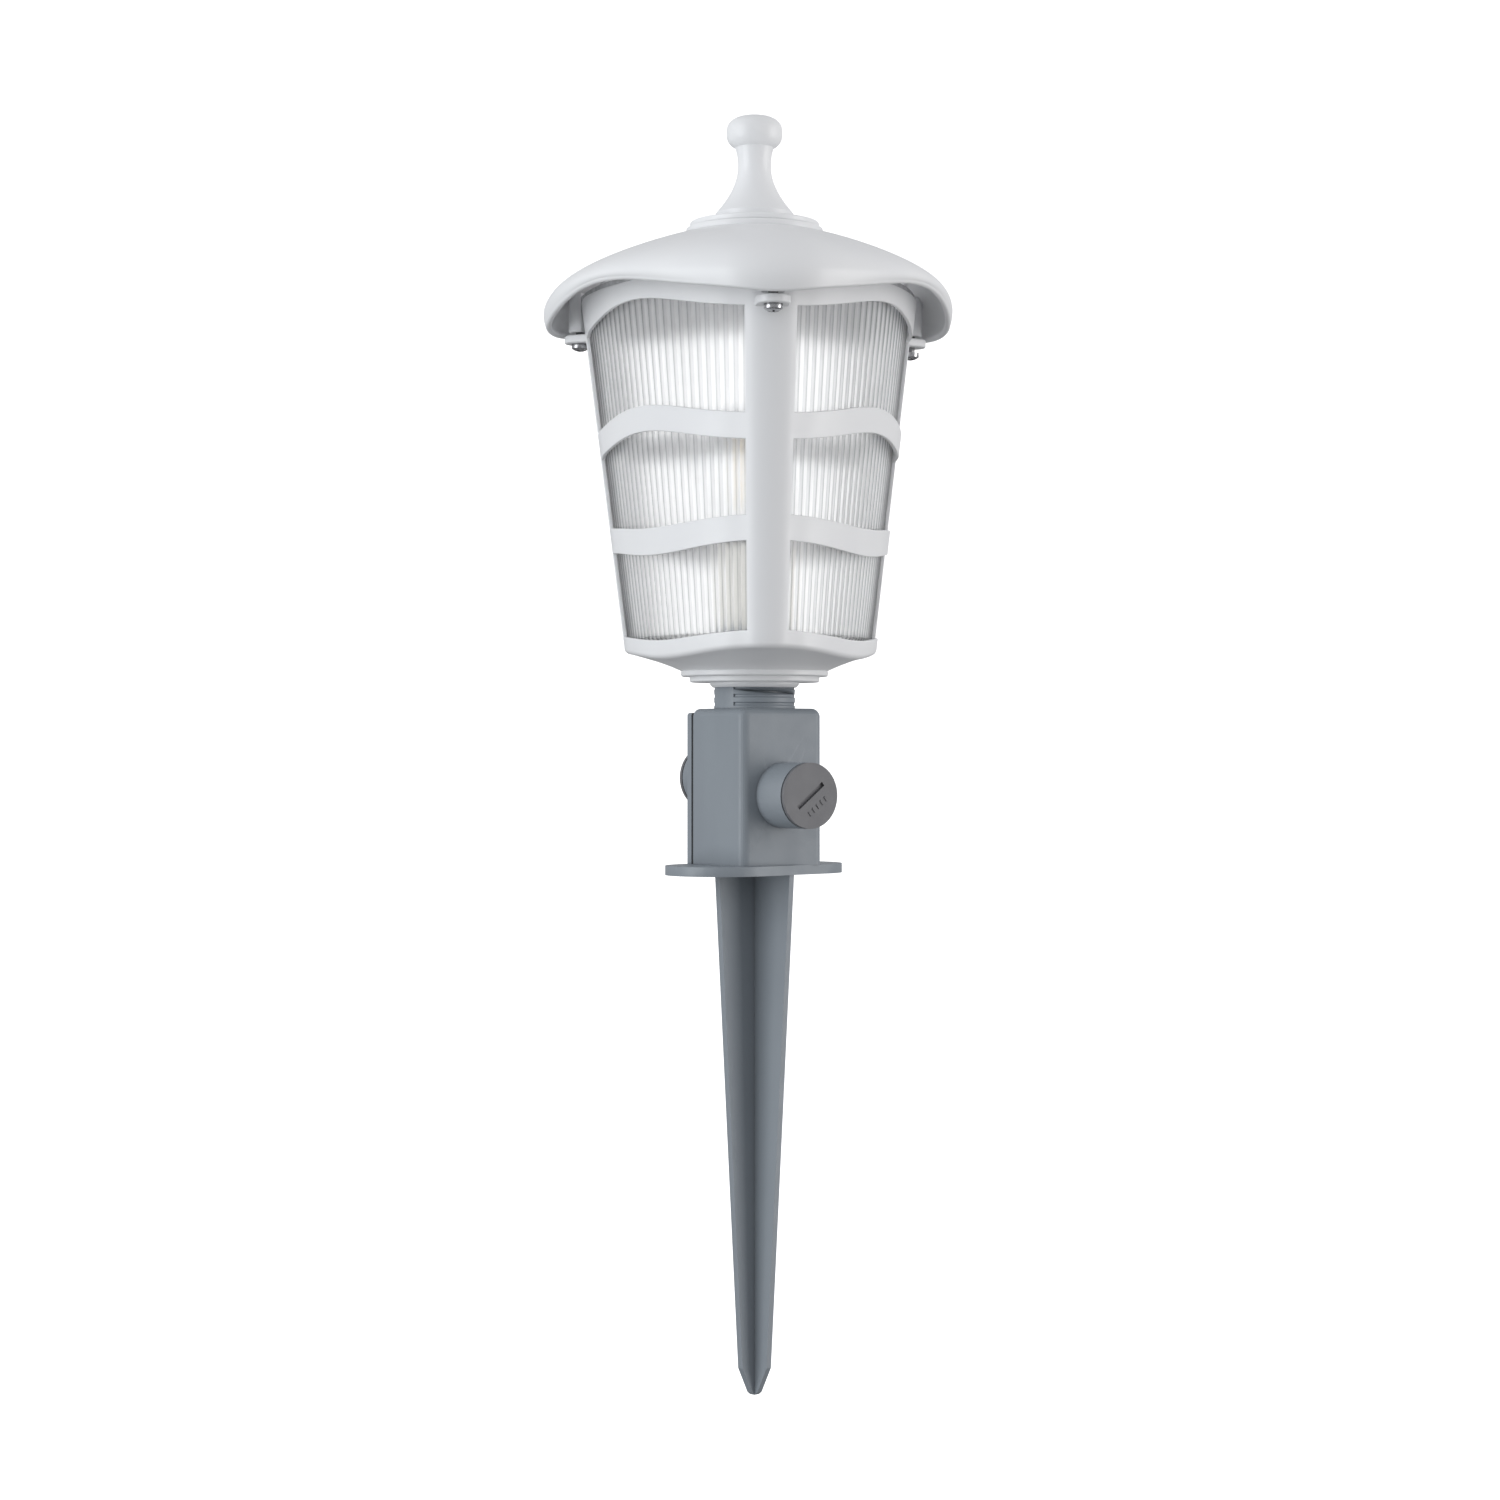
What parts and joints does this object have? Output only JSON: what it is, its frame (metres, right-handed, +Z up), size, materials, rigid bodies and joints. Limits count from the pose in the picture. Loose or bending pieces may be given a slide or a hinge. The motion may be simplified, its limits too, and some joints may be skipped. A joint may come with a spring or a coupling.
{
  "type": "garden spike lantern",
  "caption": "Three-lobed garden lantern with a domed roof and a clear fluted lens, screwed onto a small junction box with cable entries, on a cross-bladed ground spike.",
  "frame": {"origin": "centre of the ground flange's underside, at ground level", "axes": "+Z up along the spike and the head, +X along one rib of the head and square to the box's side, -Y out of the front cable entry"},
  "size_m": [0.153, 0.1542, 0.4729],
  "materials": {
    "grey_plastic": "moulded satin blue-grey",
    "plug_plastic": "moulded dark grey",
    "white_plastic": "satin white moulding",
    "clear_lens": "clear fluted plastic",
    "rubber": "matt black",
    "foam_rubber": "closed-cell foam",
    "zinc": "bright zinc plate",
    "nickel": "nickel plate",
    "brass": "stamped",
    "insulator": "moulded cream",
    "brown_insulation": "wire insulation",
    "blue_insulation": "wire insulation",
    "black_glass": "moulded black insulator",
    "lamp_glass": "clear blown glass",
    "filament": "phosphor coating"
  },
  "bodies": {
    "base": {"ground_spike": "grey_plastic", "spike_screw": "zinc", "front_shell": "grey_plastic", "rear_cover": "grey_plastic", "cover_seal": "rubber", "cover_screws": "zinc", "terminal_block": "insulator", "terminal_barrels": "brass", "terminal_screws": "zinc", "block_screws": "zinc", "cord_grip": "grey_plastic", "grip_screws": "zinc", "live_wire": "brown_insulation", "neutral_wire": "blue_insulation", "holder_base": "insulator", "holder_screws": "zinc", "holder_body": "insulator", "holder_thread": "brass", "centre_contact": "brass"},
    "neck_ring": {"neck_seal": "rubber"},
    "head": {"lantern_frame": "white_plastic", "lens": "clear_lens", "roof_gasket": "foam_rubber", "roof": "white_plastic", "roof_screws": "zinc", "finial": "white_plastic", "finial_nut": "white_plastic"},
    "front_ring": {"front_plug_seal": "rubber"},
    "front_cap": {"front_plug": "plug_plastic"},
    "rear_ring": {"rear_plug_seal": "rubber"},
    "rear_cap": {"rear_plug": "plug_plastic"},
    "lamp_ring": {"holder_seal": "rubber"},
    "lamp": {"bulb_cap": "nickel", "bulb_contact": "black_glass", "bulb_globe": "lamp_glass", "bulb_stem": "lamp_glass", "bulb_filaments": "filament"}
  },
  "joints": [
    {"name": "head_lift", "type": "slide", "parent": "base", "child": "neck_ring", "axis": [0, 0, 1], "range_m": [-0.0061, 0.0061]},
    {"name": "head_turn", "type": "hinge", "parent": "neck_ring", "child": "head", "pos_m": [0, 0, 0.078], "axis": [0, 0, 1], "range_deg": [-720, 720]},
    {"name": "front_plug_travel", "type": "slide", "parent": "base", "child": "front_ring", "axis": [0, -1, 0], "range_m": [0, 0.0061]},
    {"name": "front_plug_turn", "type": "hinge", "parent": "front_ring", "child": "front_cap", "pos_m": [0, -0.0339, 0.0292], "axis": [0, -1, 0], "range_deg": [0, 1440]},
    {"name": "rear_plug_travel", "type": "slide", "parent": "base", "child": "rear_ring", "axis": [0, 1, 0], "range_m": [0, 0.0061]},
    {"name": "rear_plug_turn", "type": "hinge", "parent": "rear_ring", "child": "rear_cap", "pos_m": [0, 0.0306, 0.0353], "axis": [0, 1, 0], "range_deg": [0, 1440]},
    {"name": "lamp_travel", "type": "slide", "parent": "base", "child": "lamp_ring", "axis": [0, 0, 1], "range_m": [0, 0.0057]},
    {"name": "lamp_turn", "type": "hinge", "parent": "lamp_ring", "child": "lamp", "pos_m": [0, 0, 0.121], "axis": [0, 0, 1], "range_deg": [0, 720]}
  ],
  "couplings": [
    {"joint": "head_lift", "follows": "head_turn", "m_per_rad": 0.00047746},
    {"joint": "front_plug_travel", "follows": "front_plug_turn", "m_per_rad": 0.00023873},
    {"joint": "rear_plug_travel", "follows": "rear_plug_turn", "m_per_rad": 0.00023873},
    {"joint": "lamp_travel", "follows": "lamp_turn", "m_per_rad": 0.00044563}
  ]
}
